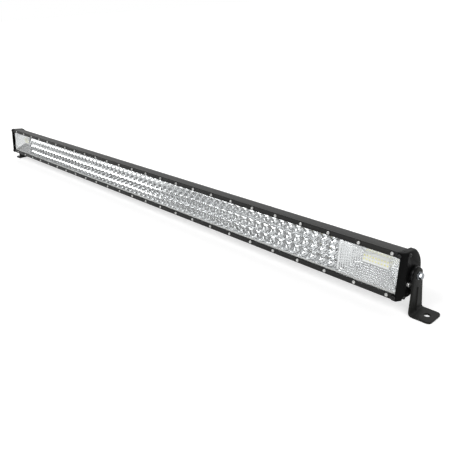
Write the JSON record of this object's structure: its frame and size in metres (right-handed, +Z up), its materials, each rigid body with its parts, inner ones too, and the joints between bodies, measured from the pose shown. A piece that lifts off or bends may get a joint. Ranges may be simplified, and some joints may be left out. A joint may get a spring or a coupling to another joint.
{
  "type": "led light bar",
  "caption": "Long straight LED light bar: finned extrusion, clear lens over square spot cups and end flood trays, on two foot brackets that swivel on pivot bolts.",
  "frame": {"origin": "midway between the two foot mounting holes, on the mounting face under the feet; the pivot axis is straight above it", "axes": "+X along the bar to the viewer's right when facing the lens, +Y from the lens to the rear fins, +Z up from the mounting face"},
  "size_m": [1.38, 0.0589, 0.0964],
  "materials": {
    "housing_finish": "satin dark grey anodised extrusion",
    "black_trim": "satin black anodised",
    "cap_black": "castings in satin black powder coat",
    "fastener_black": "blackened steel",
    "seal_clear": "white silicone",
    "lens_clear": "clear polycarbonate, gloss",
    "seal_rubber": "black silicone",
    "reflector_chrome": "vacuum metallised plastic, mirror bright",
    "led_phosphor": "yellow phosphor",
    "board_white": "metal core board with white mask",
    "component_black": "matt black",
    "gland_plastic": "matt black nylon",
    "bright_steel": "bright stainless",
    "spacer_black": "satin black",
    "bracket_black": "satin black powder coat"
  },
  "bodies": {
    "light_bar": {"board_plugs": "component_black", "bottom_strip_screws": "bright_steel", "bottom_trim_strip": "black_trim", "breather_vent": "bright_steel", "cable_gland_body": "gland_plastic", "cable_gland_nut": "gland_plastic", "cable_gland_seal": "seal_rubber", "driver_board": "board_white", "driver_chokes": "component_black", "housing": "housing_finish", "left_bezel_screws": "fastener_black", "left_cap_screws": "fastener_black", "left_end_bezel": "cap_black", "left_end_cap": "cap_black", "left_end_gasket": "seal_rubber", "left_flat_washer": "bright_steel", "left_flood_board": "board_white", "left_flood_leds": "led_phosphor", "left_flood_reflector": "reflector_chrome", "left_pivot_bolt": "bright_steel", "left_pivot_spacer": "spacer_black", "left_spring_washer": "bright_steel", "lens": "lens_clear", "lens_gasket": "seal_clear", "right_bezel_screws": "fastener_black", "right_cap_screws": "fastener_black", "right_end_bezel": "cap_black", "right_end_cap": "cap_black", "right_end_gasket": "seal_rubber", "right_flat_washer": "bright_steel", "right_flood_board": "board_white", "right_flood_leds": "led_phosphor", "right_flood_reflector": "reflector_chrome", "right_pivot_bolt": "bright_steel", "right_pivot_spacer": "spacer_black", "right_spring_washer": "bright_steel", "spot_board_centre": "board_white", "spot_board_left": "board_white", "spot_board_right": "board_white", "spot_leds": "led_phosphor", "spot_reflector_centre": "reflector_chrome", "spot_reflector_left": "reflector_chrome", "spot_reflector_right": "reflector_chrome", "top_strip_screws": "bright_steel", "top_trim_strip": "black_trim"},
    "left_bracket": {"left_bracket": "bracket_black"},
    "right_bracket": {"right_bracket": "bracket_black"}
  },
  "joints": [
    {"name": "left_bracket_pivot", "type": "hinge", "parent": "light_bar", "child": "left_bracket", "pos_m": [-0.6595, 0, 0.058], "axis": [1, 0, 0], "continuous": true},
    {"name": "right_bracket_pivot", "type": "hinge", "parent": "light_bar", "child": "right_bracket", "pos_m": [0.6595, 0, 0.058], "axis": [1, 0, 0], "continuous": true}
  ]
}
